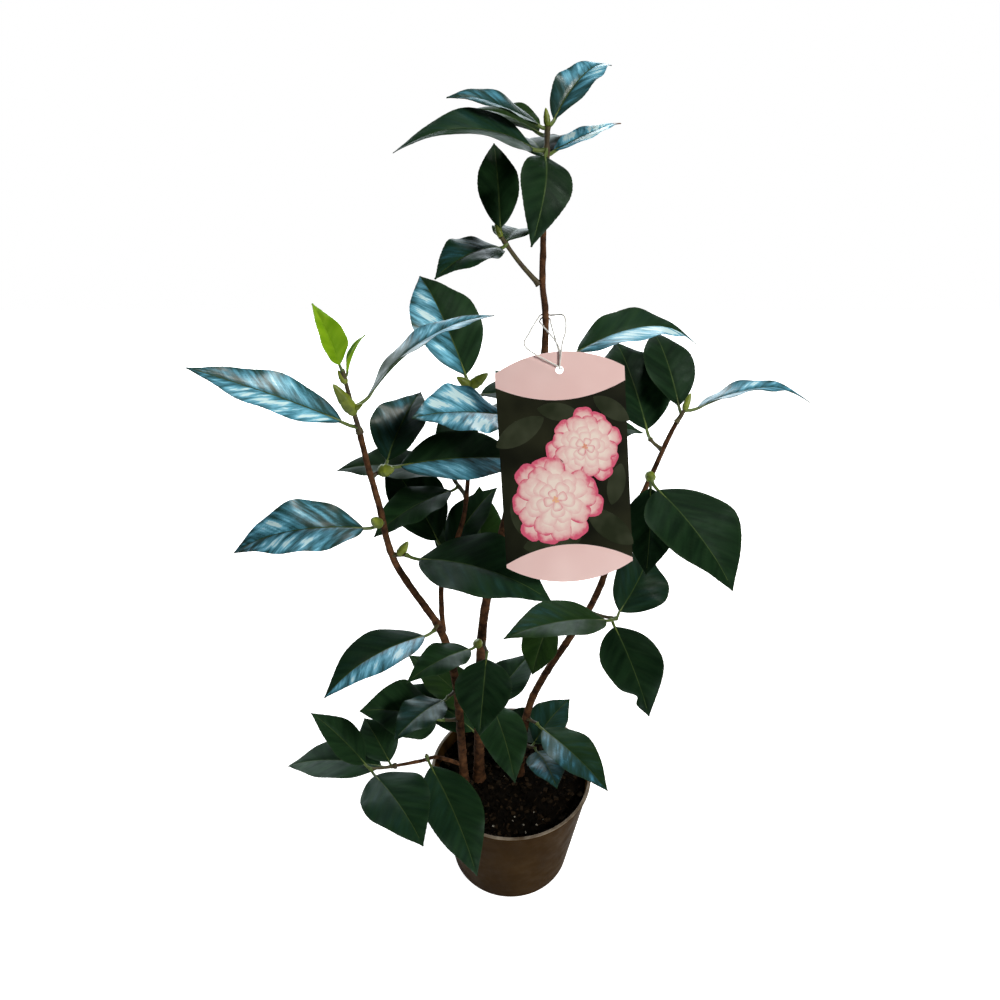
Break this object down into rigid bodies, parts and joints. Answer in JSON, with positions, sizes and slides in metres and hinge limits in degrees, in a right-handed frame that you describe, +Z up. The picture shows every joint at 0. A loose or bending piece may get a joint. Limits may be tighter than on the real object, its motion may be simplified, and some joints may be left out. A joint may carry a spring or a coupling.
{
  "type": "potted camellia shrub",
  "caption": "Young potted camellia shrub with glossy leaves on slender stems, green buds, and a hanging plant label tied on with string.",
  "frame": {"origin": "centre of the pot's flat underside", "axes": "+Z up, +X to the right of the label's face, -Y out of the label's face towards the viewer"},
  "size_m": [0.3971, 0.2673, 0.6677],
  "materials": {
    "pot_plastic": "satin taupe-brown plastic",
    "compost": "dark moist compost",
    "bark": "rough brown bark",
    "foliage": "glossy dark-green leaf",
    "label_card": "printed plastic label",
    "string": "thin white string"
  },
  "bodies": {
    "root": {"back_bough": "bark", "back_foot_shoot": "foliage", "back_left_shoot": "foliage", "back_tip_shoot": "foliage", "compost": "compost", "inner_bough": "bark", "inner_low_shoot": "foliage", "inner_tip_shoot": "foliage", "label": "label_card", "left_bough": "bark", "left_foot_shoot": "foliage", "left_knee_shoot": "foliage", "left_lower_shoot": "foliage", "left_side_shoot": "foliage", "left_stem": "bark", "left_stem_shoot": "foliage", "left_tip_shoot": "foliage", "left_upper_shoot": "foliage", "low_bough": "bark", "low_front_shoot": "foliage", "low_tip_shoot": "foliage", "main_stem": "bark", "pot": "pot_plastic", "right_bend_shoot": "foliage", "right_bough": "bark", "right_foot_shoot": "foliage", "right_fork_shoot": "foliage", "right_low_shoot": "foliage", "right_side_shoot": "foliage", "right_stem": "bark", "right_tip_shoot": "foliage", "right_upper_shoot": "foliage", "stem_foot_shoot": "foliage", "stem_front_shoot": "foliage", "stem_low_shoot": "foliage", "stem_middle_shoot": "foliage", "tie": "string", "top_shoot": "foliage", "upper_left_shoot": "foliage", "upper_right_shoot": "foliage", "upper_side_shoot": "foliage"}
  },
  "joints": []
}
